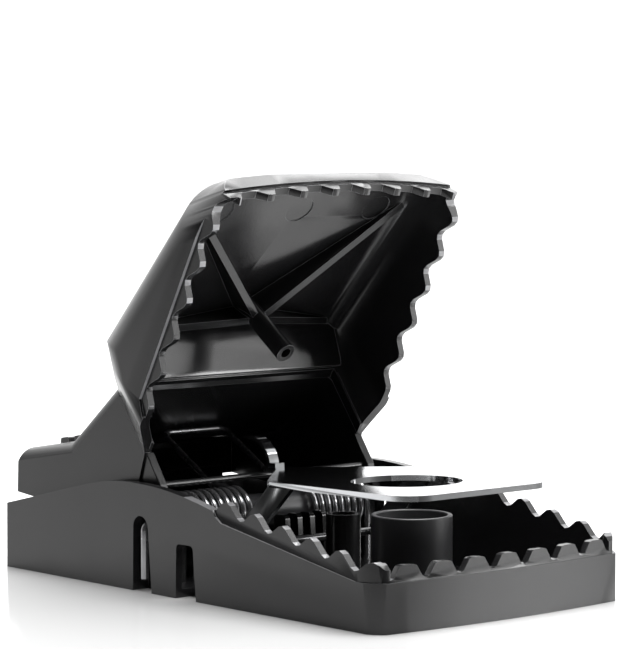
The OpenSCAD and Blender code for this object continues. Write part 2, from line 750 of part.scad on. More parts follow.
// Thumb slope and pad with rounded side edges, moved inwards by w.
module lever_roof(w) {
    half = lever_half_w - w;
    r = lever_edge_r - w / 2;
    for (fall = [slope_angle, pad_fall]) prism_along_slope(knee - w * [sin(fall), cos(fall)], -fall)
        polygon(rounded([[-half, -far], [half, -far], [half, 0], [-half, 0]], [0, 0, r, r]));
}

module lever_solid() {
    intersection() {
        along_x(-lever_half_w, lever_half_w) polygon(lever_side);
        lever_roof(0);
    }
}

module lever_hollow() {
    intersection() {
        lever_roof(lever_t);
        along_x(-half_w, half_w) polygon([[-far, -over], end_foot - [lever_t, end_foot.y + over],
            end_top - [lever_t, 0], end_over - [lever_t, 0], [-far, far]]);
    }
}

// Lip that closes the gap between the lever's end and the tray.
module end_lip() {
    lip_y = rear_y - wall - lip_gap;
    half = lever_half_w - lip_inset;
    along_x(-half, half) polygon([[lip_y - lip_t, end_foot.y - lip_drop], [lip_y, end_foot.y - lip_drop],
        [lip_y, end_foot.y + 0.4], [lever_end_y - lever_t / 2, end_foot.y + 0.4],
        [lever_end_y - lever_t / 2, end_foot.y + 1.4], [lip_y - lip_t, end_foot.y + 1.4]]);
}

module grip_ridges() {
    grip_half = lever_half_w - 3.5;
    translate([0, knee.x, knee.y]) rotate([-pad_fall, 0, 0]) for (i = [0:grip_count - 1])
        translate([-grip_half, 0.6 + i * grip_pitch, -lever_t / 2]) along_x(0, 2 * grip_half)
            polygon(rounded([[0, 0], [grip_w, 0], [grip_w - 0.4, grip_h + lever_t / 2],
                [0.4, grip_h + lever_t / 2]], [0, 0, 0.4, 0.4]));
}

module setting_lever() {
    color(black_plastic) {
        difference() {
            lever_solid();
            lever_hollow();
        }
        grip_ridges();
        end_lip();
    }
}

module jaw_arm() {
    difference() {
        union() {
            rod_x(hinge, arm_boss_r, arm_x0, arm_x1);
            along_x(arm_x0, arm_x1) polygon([heel_open, hinge + [-arm_boss_r / 4, arm_front_h],
                hinge - [arm_boss_r, 0], hinge - [0, arm_boss_r],
                front_foot + 2.5 * unit(heel_open - front_foot)]);
        }
        rod_x(hinge, axle_d / 2 + axle_play, arm_x0 - over, arm_x1 + over);
    }
}

module jaw_arm_left() {
    color(black_plastic) mirror([1, 0, 0]) jaw_arm();
}

module jaw_arm_right() {
    color(black_plastic) jaw_arm();
}

module latch_bar() {
    latch = hinge + latch_reach * [sin(5), cos(5)];
    color(black_plastic) rod_x(latch, latch_d / 2, -arm_x0, arm_x0);
}

// ---------- axles and sleeve ----------

module hinge_axle() {
    bend_r = axle_d / 2 + 0.5;
    color(wire_steel) {
        rod_x(hinge, axle_d / 2, -axle_leg_x + bend_r, axle_leg_x - bend_r);
        mirrored() {
            translate([axle_leg_x - bend_r, hinge_y, hinge_z - bend_r]) rotate([90, 0, 0])
                rotate_extrude(angle = 90, $fn = round_fn) translate([bend_r, 0]) circle(d = axle_d, $fn = round_fn);
            translate([axle_leg_x, hinge_y, axle_leg_z])
                cylinder(h = hinge_z - bend_r - axle_leg_z, d = axle_d, $fn = round_fn);
        }
    }
}

module spring_sleeve() {
    color(soft_black) difference() {
        rod_x(hinge, sleeve_d / 2, -cheek_x0, cheek_x0);
        rod_x(hinge, axle_d / 2 + axle_play / 2, -cheek_x0 - over, cheek_x0 + over);
    }
}

module trigger_axle() {
    reach = plate_half_w + stand_gap + stand_t + axle_end;
    color(wire_steel) rod_x(pivot, axle_d / 2, -reach, reach);
}

// ---------- torsion spring ----------

ring_sides = 6;
curl_rings = 8;

// Unit frame across a path at point i.
function heading(path, i) = unit(path[min(i + 1, len(path) - 1)] - path[max(i - 1, 0)]);

// Tube of radius r along a path that never runs along the vector up.
module tube(path, r, up) {
    n = len(path);
    points = [for (i = [0:n - 1])
        let (t = heading(path, i), a = unit(cross(t, up)), b = cross(a, t))
        for (k = [0:ring_sides - 1]) path[i] + r * (cos(360 * k / ring_sides) * a
            + sin(360 * k / ring_sides) * b)];
    last = (n - 1) * ring_sides;
    faces = concat(
        [for (i = [0:n - 2]) for (k = [0:ring_sides - 1])
            let (p = i * ring_sides + k, q = i * ring_sides + (k + 1) % ring_sides)
            each [[p, q, q + ring_sides], [p, q + ring_sides, p + ring_sides]]],
        [for (k = [1:ring_sides - 2]) [0, k + 1, k]],
        [for (k = [1:ring_sides - 2]) [last, last + k, last + k + 1]]);
    polyhedron(points = points, faces = faces, convexity = 10);
}

// Right-hand coil: up from the floor in front, round the sleeve, and off the top to the rear.
leg_rings = 4;
coil_path = concat(
    [for (i = [0:leg_rings - 1]) [coil_outer_x, hinge_y - coil_r,
        floor_t + (hinge_z - floor_t) * i / leg_rings]],
    [for (i = [0:(coil_turns + 0.25) * curl_rings])
        let (a = 180 - 360 * i / curl_rings)
        [coil_outer_x - coil_pitch * i / curl_rings, hinge_y + coil_r * cos(a), hinge_z + coil_r * sin(a)]],
    [for (i = [1:2]) [coil_inner_x, hinge_y + coil_tail * i / 2, hinge_z + coil_r]]);

// Least distance between two points of the path that are half a curl or more apart.
coil_gap = min([for (i = [0:len(coil_path) - 1]) for (j = [i + curl_rings / 2:1:len(coil_path) - 1])
    norm(coil_path[i] - coil_path[j])]) - wire_d;
echo(coil_gap = coil_gap);

module spring_coil_right() {
    color(bright_steel) tube(coil_path, wire_d / 2, [1, 0, 0]);
}

module spring_coil_left() {
    color(bright_steel) mirror([1, 0, 0]) tube(coil_path, wire_d / 2, [1, 0, 0]);
}

// Bail: from each coil to the rear, then up and across under the lever's slope.
bail_start = [coil_inner_x, hinge_y + coil_tail + 0.6, hinge_z + coil_r];
bail_end = [coil_inner_x, knee.x - bail_front, knee.y + bail_front * tan(slope_angle)
    - (lever_t + wire_d / 2 + seat_gap) / cos(slope_angle)];
bail_side = [bail_start, bail_start + [0, wire_d, 0], bail_start + [0, 2 * wire_d, 0.1],
    bail_end - 2 * wire_d * unit(bail_end - bail_start), bail_end - wire_d * unit(bail_end - bail_start),
    bail_end + [-0.15, -0.15, 0], bail_end + [-1, 0, 0]];

module spring_bail() {
    side_points = len(bail_side);
    path = concat(bail_side, [for (i = [side_points - 1:-1:0])
        [-bail_side[i].x, bail_side[i].y, bail_side[i].z]]);
    color(bright_steel) tube(path, wire_d / 2, [0, 0.2, 1]);
}

// ---------- trigger ----------

// Frame of the plate: y from the middle of the hole, z from the upper face.
module plate_frame() {
    translate([0, hole_y, plate_z]) rotate([-plate_tilt, 0, 0]) children();
}

module trigger_ear() {
    x0 = plate_half_w - plate_t;
    difference() {
        union() {
            rod_x(pivot, ear_r, x0, plate_half_w);
            along_x(x0, plate_half_w) polygon([[hole_y + taper_from - 6, plate_z - plate_t],
                [pivot.x - ear_r, pivot.y], [pivot.x, pivot.y - ear_r], [pivot.x + ear_r, pivot.y + 0.6],
                [hole_y + taper_from - 0.5, plate_z - plate_t]]);
        }
        rod_x(pivot, axle_d / 2 + axle_play, x0 - over, plate_half_w + over);
    }
}

module trigger_plate() {
    front = front_y + plate_front - hole_y;
    outline = [[-plate_half_w, front], [plate_half_w, front], [plate_half_w, taper_from],
        [tail_half_w, taper_from + taper_len], [tail_half_w, tail_end], [-tail_half_w, tail_end],
        [-tail_half_w, taper_from + taper_len], [-plate_half_w, taper_from]];
    color(bright_steel) {
        plate_frame() translate([0, 0, -plate_t]) difference() {
            linear_extrude(plate_t) polygon(rounded(outline,
                [plate_corner_r, plate_corner_r, 1.5, 1.5, 0, 0, 1.5, 1.5]));
            translate([0, 0, -over]) cylinder(h = plate_t + 2 * over, d = hole_d, $fn = round_fn);
        }
        mirrored() trigger_ear();
    }
}

module catch_hook() {
    foot = 2;
    lean = asin(catch_drop / (catch_r - catch_t / 2));
    centre = [tail_end - catch_t / 2 + catch_r * cos(lean), -catch_drop];
    start = 180 - lean;
    arc = [for (i = [0:2 * arc_steps]) start - catch_sweep * i / (2 * arc_steps)];
    color(wire_steel) plate_frame() {
        along_x(-catch_w / 2, catch_w / 2) polygon(concat(
            [for (a = arc) centre + (catch_r + catch_t / 2) * [cos(a), sin(a)]],
            [for (i = [len(arc) - 1:-1:0]) centre + (catch_r - catch_t / 2) * [cos(arc[i]), sin(arc[i])]]));
        translate([-catch_w / 2, tail_end - foot, 0]) cube([catch_w, foot, catch_t]);
    }
}

base_tray();
hinge_axle();
spring_sleeve();
spring_coil_left();
spring_coil_right();
spring_bail();
upper_jaw();
setting_lever();
jaw_arm_left();
jaw_arm_right();
latch_bar();
trigger_plate();
catch_hook();
trigger_axle();
bait_cup();
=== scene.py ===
"""Snap mouse trap: finished plastic mouldings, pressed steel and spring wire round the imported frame."""

import math

import bmesh
import bpy
from mathutils import Matrix, Vector


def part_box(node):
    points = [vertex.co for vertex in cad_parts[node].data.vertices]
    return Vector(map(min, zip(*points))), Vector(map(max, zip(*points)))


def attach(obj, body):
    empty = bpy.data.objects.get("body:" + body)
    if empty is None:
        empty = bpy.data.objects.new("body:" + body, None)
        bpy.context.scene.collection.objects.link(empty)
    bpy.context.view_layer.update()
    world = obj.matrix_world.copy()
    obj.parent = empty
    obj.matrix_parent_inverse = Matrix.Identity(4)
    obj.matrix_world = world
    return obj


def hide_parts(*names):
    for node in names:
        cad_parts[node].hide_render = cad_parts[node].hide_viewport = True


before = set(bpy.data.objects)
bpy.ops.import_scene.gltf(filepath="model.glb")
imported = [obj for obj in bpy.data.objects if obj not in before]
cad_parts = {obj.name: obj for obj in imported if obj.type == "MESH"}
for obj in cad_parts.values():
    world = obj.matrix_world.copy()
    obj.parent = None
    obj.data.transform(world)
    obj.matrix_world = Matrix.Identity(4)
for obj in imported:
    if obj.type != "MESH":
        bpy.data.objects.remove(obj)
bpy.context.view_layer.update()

bl_info = {
    "name": "Snap Mouse Trap",
    "version": (1, 0, 0),
    "blender": (4, 5, 0),
    "location": "View3D > Sidebar > Trap",
    "description": "Builds the finished pieces of a set snap mouse trap",
    "category": "Object",
}

MM = 0.001


# ---------- named values ----------

HINGE = Vector((0, 9.9, 11.05)) * MM

# Copies of the CAD nodes
WELD_DISTANCE = 0.002 * MM
FLAT_BELOW = math.radians(0.4)
SMOOTH_BELOW = math.radians(30)
STEEL_SOFTEN_ANGLE = math.radians(50)
CUP_SOFTEN_ANGLE = math.radians(40)
CUP_SEGMENTS = 3

# Shares of the mouldings' edge radius
WHOLE_EDGE = 1
SMALL_EDGE = 0.6
CUP_EDGE = 0.7

# Cosines: a face counts as a crest, or as sheared, when it turns this far towards the axis; crest faces
# get the lighter plastic, partly wear and partly painted highlight
TRAY_CREST_FACING = 0.7
JAW_CREST_FACING = 0.95
SHEARED_FACING = 0.9

# Wire
WIRE_SIDES = 16
AXLE_SIDES = 20
BEND_STEPS = 6
CURL_STEPS = 28
END_TURN = 0.25
COIL_FOOT = 1.4 * MM
COIL_REACH = 5.5 * MM
BAIL_START = 6.2 * MM
BAIL_BEND = 1.6 * MM
AXLE_BEND = 1.1 * MM

# Noises, each by scale and detail, and the parts of their range that are used
NOISE_RANGE = (0.3, 0.7)
TONE_RANGE = (0.35, 0.65)
PLASTIC_TONE_NOISE = (60, 3)
PLASTIC_GLOSS_NOISE = (140, 4)
PLASTIC_GRAIN_NOISE = (2600, 2)
STEEL_TONE_NOISE = (90, 3)
STEEL_GLOSS_NOISE = (500, 3)
STEEL_LINE_NOISE = (900, 2)
FLOOR_NOISE = (3, 2)

# Plastic: tones as factors of the colour, gloss as steps from the roughness
PLASTIC_TONES = (0.85, 1.2)
PLASTIC_DULLER = 0.05
PLASTIC_GLOSSIER = 0.04
PLASTIC_IOR = 1.52
GRAIN_DEPTH = 0.05 * MM
MOULDED_GRAIN = 0.14
CUP_GRAIN = 0.10
# Grain of the lighter edge plastics, which are partly wear and partly painted highlight
WORN_HIGHLIGHT_GRAIN = 0.03
# Darkening of the edge colour for the tray's and lever's edges and crests, which are partly wear and
# partly painted highlight
RUBBED_HIGHLIGHT_TINT = 0.45
CUP_ROUGHNESS = 0.36

# Steel
STEEL_TONES = (0.92, 1.05)
STEEL_METALLIC = 0.88
LINE_STRENGTH = 0.04
LINE_DEPTH = 0.02 * MM
# Darker steel: duller sheared ends, and painted shade on the ears under the plate
SHEARED_AND_SHADE_TINT = 0.2
# Darker wire as painted shade on the bail and the trigger axle
WIRE_SHADE_TINT = 0.3

# Stage
FLOOR_REACH = 6.0
FLOOR_HEIGHT = -0.02 * MM
FLOOR_ROUGHNESS = (0.10, 0.14)
FADE_BEFORE_END = -100 * MM
FADE_PAST_END = 300 * MM
FADE_FLOOR_FROM = 0.25
FADE_FLOOR_TO = 0.5
# Painted shade on the floor near the camera, and white far behind
FADE_PAINTED_SHADE = (0.08, 0.08, 0.08, 1)
FADE_FAR = (0.95, 0.95, 0.95, 1)
SWEEP_RANGE = (-0.20, 0.90)
SWEEP_RISE = 0.25
SENSOR_WIDTH = 36
CLIP_RANGE = (0.01, 50)

# Area lights: name, place, aim, width and height, setting of the power
TRAP_MIDDLE = (0, 0, 0.03)
LIGHTS = (
    ("overhead", (0.18, -0.10, 0.9), (0.18, -0.10, 0), (0.9, 0.9), "overhead_power"),
    ("behind_above", (0.62, 0.60, 0.58), TRAP_MIDDLE, (0.7, 0.45), "rear_power"),
    ("right_front", (0.68, -0.66, 0.34), TRAP_MIDDLE, (0.45, 0.7), "side_power"),
    ("front_strip", (0.60, -0.66, 0.22), TRAP_MIDDLE, (0.30, 0.07), "strip_power"),
)


# ---------- settings ----------

class TrapMouldingSettings(bpy.types.PropertyGroup):
    plastic_color: bpy.props.FloatVectorProperty(
        name="Plastic", description="Colour of the moulded tray, jaw and lever",
        subtype="COLOR", size=4, min=0, max=1, default=(0.011, 0.011, 0.0115, 1))
    plastic_roughness: bpy.props.FloatProperty(
        name="Plastic roughness", description="How dull the moulded skin is",
        default=0.22, min=0.05, max=1)
    cup_color: bpy.props.FloatVectorProperty(
        name="Cup", description="Colour of the bait cup",
        subtype="COLOR", size=4, min=0, max=1, default=(0.032, 0.032, 0.034, 1))
    # Lighter plastic on the rounded edges and the jaw's tooth ends: partly wear, partly painted highlight
    wear_and_highlight_color: bpy.props.FloatVectorProperty(
        name="Worn and highlighted edges", description="Colour of the plastic along its rubbed edges, lightened as painted highlight",
        subtype="COLOR", size=4, min=0, max=1, default=(0.32, 0.32, 0.33, 1))
    edge_radius: bpy.props.FloatProperty(
        name="Edge radius", description="Radius of the softened edges of the mouldings",
        default=0.28 * MM, min=0, unit="LENGTH")
    open_angle: bpy.props.FloatProperty(
        name="Open angle", description="How far the set jaw stands open",
        default=math.radians(70.7), subtype="ANGLE")
    side_wall_x: bpy.props.FloatProperty(
        name="Side wall", description="Distance of the jaw's side walls from the middle",
        default=22 * MM, unit="LENGTH")
    teeth_end: bpy.props.FloatProperty(
        name="Teeth end", description="Where the side teeth end towards the rear",
        default=-1 * MM, unit="LENGTH")
    teeth_foot: bpy.props.FloatProperty(
        name="Teeth foot", description="Height above the ground where the teeth begin",
        default=7 * MM, unit="LENGTH")
    soften_angle: bpy.props.FloatProperty(
        name="Softened from", description="Edges that turn by more than this are softened",
        default=math.radians(38), subtype="ANGLE")


class TrapMetalSettings(bpy.types.PropertyGroup):
    plate_color: bpy.props.FloatVectorProperty(
        name="Plate", description="Colour of the trigger plate's steel",
        subtype="COLOR", size=4, min=0, max=1, default=(0.62, 0.63, 0.64, 1))
    wire_color: bpy.props.FloatVectorProperty(
        name="Wire", description="Colour of the drawn wire",
        subtype="COLOR", size=4, min=0, max=1, default=(0.40, 0.40, 0.41, 1))
    plate_edge: bpy.props.FloatProperty(
        name="Plate edge", description="Radius of the plate's rolled edges",
        default=0.14 * MM, unit="LENGTH")
    # The ears below this height get the darker steel as painted shade
    ear_shade_height: bpy.props.FloatProperty(
        name="Ear height", description="How far the part of the ears darkened as painted shade stands above the trigger axle",
        default=4.2 * MM, unit="LENGTH")
    spring_wire: bpy.props.FloatProperty(
        name="Spring wire", description="Diameter of the spring wire",
        default=1.0 * MM, unit="LENGTH")
    spring_radius: bpy.props.FloatProperty(
        name="Spring radius", description="Mean radius of the spring's curls",
        default=4.3 * MM, unit="LENGTH")
    spring_pitch: bpy.props.FloatProperty(
        name="Spring pitch", description="Distance from one curl to the next",
        default=1.45 * MM, unit="LENGTH")
    spring_inner_x: bpy.props.FloatProperty(
        name="Spring inner end", description="Distance of a coil's inner end from the middle",
        default=6.8 * MM, unit="LENGTH")
    spring_turns: bpy.props.IntProperty(
        name="Spring turns", description="Number of whole curls in one coil", default=8, min=1)
    axle_wire: bpy.props.FloatProperty(
        name="Axle wire", description="Diameter of the two axles' wire",
        default=1.3 * MM, unit="LENGTH")


class TrapStageSettings(bpy.types.PropertyGroup):
    floor_color: bpy.props.FloatVectorProperty(
        name="Floor", description="Colour of the floor and backdrop",
        subtype="COLOR", size=4, min=0, max=1, default=(0.58, 0.58, 0.58, 1))
    floor_gloss: bpy.props.FloatProperty(
        name="Floor gloss", description="Strength of the floor's reflection",
        default=0.5, min=0, max=1)
    floor_end: bpy.props.FloatProperty(
        name="Floor end", description="How far the white floor reaches towards the camera",
        default=-70 * MM, unit="LENGTH")
    sweep_light: bpy.props.FloatProperty(
        name="Sweep light", description="Brightness of the white sweep behind the trap",
        default=1.5, min=0)
    room_light: bpy.props.FloatProperty(
        name="Room light", description="Brightness of the room behind the camera",
        default=0.03, min=0)
    overhead_power: bpy.props.FloatProperty(
        name="Overhead", description="Power of the overhead light",
        default=24, subtype="POWER", min=0)
    rear_power: bpy.props.FloatProperty(
        name="Rear", description="Power of the light behind and above",
        default=1.6, subtype="POWER", min=0)
    side_power: bpy.props.FloatProperty(
        name="Side", description="Power of the light at the right of the camera",
        default=3.2, subtype="POWER", min=0)
    strip_power: bpy.props.FloatProperty(
        name="Strip", description="Power of the narrow light low at the right of the camera",
        default=1.2, subtype="POWER", min=0)
    camera_place: bpy.props.FloatVectorProperty(
        name="Camera place", description="Where the camera stands",
        default=(-337.8 * MM, -390.65 * MM, 79.35 * MM), subtype="TRANSLATION", unit="LENGTH")
    camera_yaw: bpy.props.FloatProperty(
        name="Camera yaw", description="Turn of the view from +Y towards +X",
        default=math.radians(41.12), subtype="ANGLE")
    camera_pitch: bpy.props.FloatProperty(
        name="Camera pitch", description="Rise of the view",
        default=math.radians(-4.04), subtype="ANGLE")
    camera_lens: bpy.props.FloatProperty(
        name="Camera lens", description="Focal length in millimetres on a 36 mm sensor", default=174.3)


# ---------- materials ----------

def clear_material(name):
    """New material with only a Principled shader; returns it with its node tree and shader."""
    material = bpy.data.materials.new(name)
    material.use_nodes = True
    tree = material.node_tree
    return material, tree, tree.nodes["Principled BSDF"]


def noise_on_object(tree, scale, detail, stretch=(1, 1, 1)):
    """Noise on Object coordinates, drawn out along an axis by stretch."""
    coords = tree.nodes.new("ShaderNodeTexCoord")
    mapping = tree.nodes.new("ShaderNodeMapping")
    mapping.inputs["Scale"].default_value = stretch
    noise = tree.nodes.new("ShaderNodeTexNoise")
    noise.inputs["Scale"].default_value = scale
    noise.inputs["Detail"].default_value = detail
    tree.links.new(coords.outputs["Object"], mapping.inputs["Vector"])
    tree.links.new(mapping.outputs["Vector"], noise.inputs["Vector"])
    return noise.outputs["Fac"]


def along_heading(tree, coordinate, yaw, rise=0):
    """How far a texture coordinate lies along the camera's heading, with a share of its height."""
    coords = tree.nodes.new("ShaderNodeTexCoord")
    along = tree.nodes.new("ShaderNodeVectorMath")
    along.operation = "DOT_PRODUCT"
    along.inputs[1].default_value = (math.sin(yaw), math.cos(yaw), rise)
    tree.links.new(coords.outputs[coordinate], along.inputs[0])
    return along.outputs["Value"]


def map_range(tree, value, source, target, interpolation="LINEAR"):
    """Maps a value from the source range onto the target range."""
    span = tree.nodes.new("ShaderNodeMapRange")
    span.interpolation_type = interpolation
    span.inputs["From Min"].default_value, span.inputs["From Max"].default_value = source
    span.inputs["To Min"].default_value, span.inputs["To Max"].default_value = target
    tree.links.new(value, span.inputs["Value"])
    return span.outputs["Result"]


def color_ramp(tree, value, stops, socket):
    """Feeds a socket with the colours that the stops, each a position and a colour, give a value."""
    ramp = tree.nodes.new("ShaderNodeValToRGB")
    elements = ramp.color_ramp.elements
    elements.remove(elements[1])
    elements[0].position, elements[0].color = stops[0]
    for position, color in stops[1:]:
        elements.new(position).color = color
    tree.links.new(value, ramp.inputs["Fac"])
    tree.links.new(ramp.outputs["Color"], socket)


def tinted(color, factor):
    return (color[0] * factor, color[1] * factor, color[2] * factor, 1)


def toned(tree, noise, color, tones, shader):
    """Lets the shader's colour wander between two tones of the colour."""
    value = noise_on_object(tree, *noise)
    stops = [(position, tinted(color, tone)) for position, tone in zip(TONE_RANGE, tones)]
    color_ramp(tree, value, stops, shader.inputs["Base Color"])


def glossed(tree, value, roughness, shader):
    """Lets the shader's roughness follow a noise between two values."""
    tree.links.new(map_range(tree, value, NOISE_RANGE, roughness), shader.inputs["Roughness"])


def bump_from(tree, value, strength, distance, shader):
    """Adds the value as fine relief to the shader's normal."""
    bump = tree.nodes.new("ShaderNodeBump")
    bump.inputs["Strength"].default_value = strength
    bump.inputs["Distance"].default_value = distance
    tree.links.new(value, bump.inputs["Height"])
    tree.links.new(bump.outputs["Normal"], shader.inputs["Normal"])


def moulded_plastic(name, color, roughness, grain):
    """Injection-moulded skin: nearly even tone, slow gloss changes and a very fine grain."""
    _, tree, shader = clear_material(name)
    toned(tree, PLASTIC_TONE_NOISE, color, PLASTIC_TONES, shader)
    gloss = (roughness - PLASTIC_GLOSSIER, roughness + PLASTIC_DULLER)
    glossed(tree, noise_on_object(tree, *PLASTIC_GLOSS_NOISE), gloss, shader)
    bump_from(tree, noise_on_object(tree, *PLASTIC_GRAIN_NOISE), grain, GRAIN_DEPTH, shader)
    shader.inputs["IOR"].default_value = PLASTIC_IOR


def rolled_steel(name, color, gloss, stretch):
    """Bright steel with faint rolling lines along one axis."""
    _, tree, shader = clear_material(name)
    shader.inputs["Metallic"].default_value = STEEL_METALLIC
    toned(tree, STEEL_TONE_NOISE, color, STEEL_TONES, shader)
    glossed(tree, noise_on_object(tree, *STEEL_GLOSS_NOISE, stretch), gloss, shader)
    lines = noise_on_object(tree, *STEEL_LINE_NOISE, stretch)
    bump_from(tree, lines, LINE_STRENGTH, LINE_DEPTH, shader)


def make_materials(scene):
    """The finishes of the trap, made once."""
    moulding, metal = scene.trap_moulding, scene.trap_metal
    if "trap_plastic" in bpy.data.materials:
        return
    for name, color, roughness, grain in (
            ("trap_plastic", moulding.plastic_color, moulding.plastic_roughness, MOULDED_GRAIN),
            # The rubbed plastic of the tray's and lever's edges and crests is partly wear, partly painted
            # highlight
            ("trap_plastic_rubbed", tinted(moulding.wear_and_highlight_color, RUBBED_HIGHLIGHT_TINT),
             moulding.plastic_roughness, WORN_HIGHLIGHT_GRAIN),
            # The lighter plastic of the jaw's edges and tooth ends is partly wear, partly painted
            # highlight
            ("trap_plastic_worn", moulding.wear_and_highlight_color, moulding.plastic_roughness, WORN_HIGHLIGHT_GRAIN),
            ("cup_plastic", moulding.cup_color, CUP_ROUGHNESS, CUP_GRAIN)):
        moulded_plastic(name, color, roughness, grain)
    for name, color, gloss, stretch in (
            ("plate_steel", metal.plate_color, (0.08, 0.15), (1, 0.04, 1)),
            # Darker steel: duller sheared ends, and painted shade on the ears
            ("sheared_steel", tinted(metal.plate_color, SHEARED_AND_SHADE_TINT), (0.30, 0.45), (1, 1, 0.05)),
            ("spring_wire", metal.wire_color, (0.14, 0.26), (1, 1, 1)),
            # Darker wire as painted shade
            ("oiled_wire", tinted(metal.wire_color, WIRE_SHADE_TINT), (0.22, 0.36), (1, 1, 1)),
            ("axle_wire", metal.wire_color, (0.16, 0.30), (0.05, 1, 1))):
        rolled_steel(name, color, gloss, stretch)


# ---------- shape helpers ----------

def object_from_bmesh(name, mesh_data, material):
    mesh = bpy.data.meshes.new(name)
    mesh_data.to_mesh(mesh)
    mesh_data.free()
    mesh.materials.append(bpy.data.materials[material])
    obj = bpy.data.objects.new(name, mesh)
    bpy.context.scene.collection.objects.link(obj)
    return obj


def softened_copy(node, name, material, radius, angle, segments=2, highlight_finish=None):
    """A merged copy of a CAD node with its sharp edges rounded, and the rounding given a second, lighter
    material if asked: partly wear, partly painted highlight.
    """
    data = bmesh.new()
    data.from_mesh(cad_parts[node].data)
    bmesh.ops.remove_doubles(data, verts=data.verts, dist=WELD_DISTANCE)
    bmesh.ops.dissolve_limit(data, angle_limit=FLAT_BELOW, verts=data.verts, edges=data.edges)
    obj = object_from_bmesh(name, data, material)
    bevel = obj.modifiers.new("Softened edges", "BEVEL")
    bevel.width = radius
    bevel.segments = segments
    bevel.limit_method = "ANGLE"
    bevel.angle_limit = angle
    bevel.use_clamp_overlap = True
    bevel.miter_outer = "MITER_ARC"
    if highlight_finish:
        obj.data.materials.append(bpy.data.materials[highlight_finish])
        bevel.material = 1
    obj.data.shade_smooth()
    obj.data.set_sharp_from_angle(angle=SMOOTH_BELOW)
    return obj


def moulded_copy(settings, node, name, edge=WHOLE_EDGE, highlight_finish=None):
    """A softened copy of a node in the trap's plastic."""
    return softened_copy(node, name, "trap_plastic", settings.edge_radius * edge,
                         settings.soften_angle, highlight_finish=highlight_finish)


def rub_and_highlight_side_crests(mesh, settings, crest, limit):
    """Gives the lighter plastic, partly wear and partly painted highlight, to what faces along the crests
    on the side walls, where the jaws meet.
    """
    for face in mesh.polygons:
        beside = abs(face.center.x) > settings.side_wall_x
        toothed = face.center.y < settings.teeth_end and face.center.z > settings.teeth_foot
        if beside and toothed and face.normal.dot(Vector(crest)) > limit:
            face.material_index = 1


def wire_tree():
    """Geometry Nodes: a closed round wire along the object's curve."""
    tree = bpy.data.node_groups.new("wire_along_path", "GeometryNodeTree")
    tree.interface.new_socket("Geometry", in_out="INPUT", socket_type="NodeSocketGeometry")
    for socket, kind in (("Diameter", "NodeSocketFloat"), ("Sides", "NodeSocketInt"),
                         ("Finish", "NodeSocketMaterial")):
        tree.interface.new_socket(socket, in_out="INPUT", socket_type=kind)
    tree.interface.new_socket("Geometry", in_out="OUTPUT", socket_type="NodeSocketGeometry")
    nodes, links = tree.nodes, tree.links
    given, made = nodes.new("NodeGroupInput"), nodes.new("NodeGroupOutput")
    half = nodes.new("ShaderNodeMath")
    half.operation = "MULTIPLY"
    half.inputs[1].default_value = 0.5
    ring = nodes.new("GeometryNodeCurvePrimitiveCircle")
    sweep = nodes.new("GeometryNodeCurveToMesh")
    sweep.inputs["Fill Caps"].default_value = True
    smooth = nodes.new("GeometryNodeSetShadeSmooth")
    finish = nodes.new("GeometryNodeSetMaterial")
    realize = nodes.new("GeometryNodeRealizeInstances")
    links.new(given.outputs["Diameter"], half.inputs[0])
    links.new(half.outputs[0], ring.inputs["Radius"])
    links.new(given.outputs["Sides"], ring.inputs["Resolution"])
    links.new(given.outputs["Geometry"], sweep.inputs["Curve"])
    links.new(ring.outputs["Curve"], sweep.inputs["Profile Curve"])
    links.new(sweep.outputs["Mesh"], smooth.inputs["Geometry"])
    links.new(smooth.outputs["Geometry"], realize.inputs["Geometry"])
    links.new(realize.outputs["Geometry"], finish.inputs["Geometry"])
    links.new(given.outputs["Finish"], finish.inputs["Material"])
    links.new(finish.outputs["Geometry"], made.inputs["Geometry"])
    return tree


def wire(name, path, diameter, material, sides=WIRE_SIDES):
    """Plain mesh of a round wire that follows a list of points."""
    curve = bpy.data.curves.new(name + "_path", "CURVE")
    curve.dimensions = "3D"
    spline = curve.splines.new("POLY")
    spline.points.add(len(path) - 1)
    for point, place in zip(spline.points, path):
        point.co = (*place, 1)
    holder = bpy.data.objects.new(name + "_path", curve)
    bpy.context.scene.collection.objects.link(holder)
    modifier = holder.modifiers.new("Wire", "NODES")
    tree = bpy.data.node_groups.get("wire_along_path") or wire_tree()
    modifier.node_group = tree
    values = {"Diameter": diameter, "Sides": sides, "Finish": bpy.data.materials[material]}
    for item in tree.interface.items_tree:
        if item.in_out == "INPUT" and item.name in values:
            modifier[item.identifier] = values[item.name]
    evaluated = holder.evaluated_get(bpy.context.evaluated_depsgraph_get())
    mesh = bpy.data.meshes.new_from_object(evaluated)
    mesh.name = name
    bpy.data.objects.remove(holder)
    data = bmesh.new()
    data.from_mesh(mesh)
    bmesh.ops.recalc_face_normals(data, faces=data.faces)
    data.to_mesh(mesh)
    data.free()
    obj = bpy.data.objects.new(name, mesh)
    bpy.context.scene.collection.objects.link(obj)
    return obj


def rounded_path(corners, radius):
    """Points along straight runs between corners, each inner corner turned by an arc."""
    points = [Vector(corners[0])]
    for before, at, after in zip(corners, corners[1:], corners[2:]):
        at = Vector(at)
        u, v = (Vector(before) - at).normalized(), (Vector(after) - at).normalized()
        half = u.angle(v) / 2
        reach = radius / math.tan(half)
        centre = at + (u + v).normalized() * radius / math.sin(half)
        start, end = at + u * reach - centre, at + v * reach - centre
        for i in range(BEND_STEPS + 1):
            turned = start.normalized().slerp(end.normalized(), i / BEND_STEPS)
            points.append(centre + radius * turned)
    points.append(Vector(corners[-1]))
    return points


